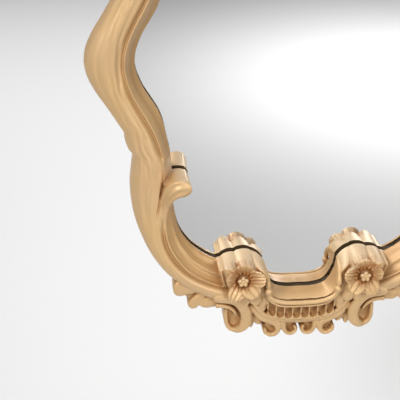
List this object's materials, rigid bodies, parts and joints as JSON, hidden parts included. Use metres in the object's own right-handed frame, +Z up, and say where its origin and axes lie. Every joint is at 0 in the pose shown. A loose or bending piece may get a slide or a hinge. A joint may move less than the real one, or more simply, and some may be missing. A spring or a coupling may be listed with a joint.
{
  "type": "wall mirror",
  "caption": "Carved scrollwork wall mirror in a satin gold cast frame, with flowers, curls and volutes round a shaped pane",
  "frame": {"origin": "middle of the flat back, on the rear face of the backing board, where the mirror bears on the wall", "axes": "+Y out of the back into the wall, -Y the side that is looked into, +Z up, +X to the right of a person facing the mirror"},
  "size_m": [0.7198, 0.0759, 1.0308],
  "materials": {
    "satin_gold": "satin champagne gold paint on cast resin",
    "silvered_pane": "silvered float glass",
    "dark_strip": "dark brown felt strip",
    "hardboard": "brown hardboard",
    "zinc_steel": "zinc plated steel"
  },
  "bodies": {
    "root": {"frame": "satin_gold", "mirror_pane": "silvered_pane", "glazing_strip": "dark_strip", "backing_board": "hardboard", "hanger_left": "zinc_steel", "hanger_right": "zinc_steel", "board_screw_01": "zinc_steel", "board_screw_02": "zinc_steel", "board_screw_03": "zinc_steel", "board_screw_04": "zinc_steel", "board_screw_05": "zinc_steel", "board_screw_06": "zinc_steel", "board_screw_07": "zinc_steel", "board_screw_08": "zinc_steel", "hanger_screw_left_top": "zinc_steel", "hanger_screw_left_foot": "zinc_steel", "hanger_screw_right_top": "zinc_steel", "hanger_screw_right_foot": "zinc_steel"}
  },
  "joints": []
}
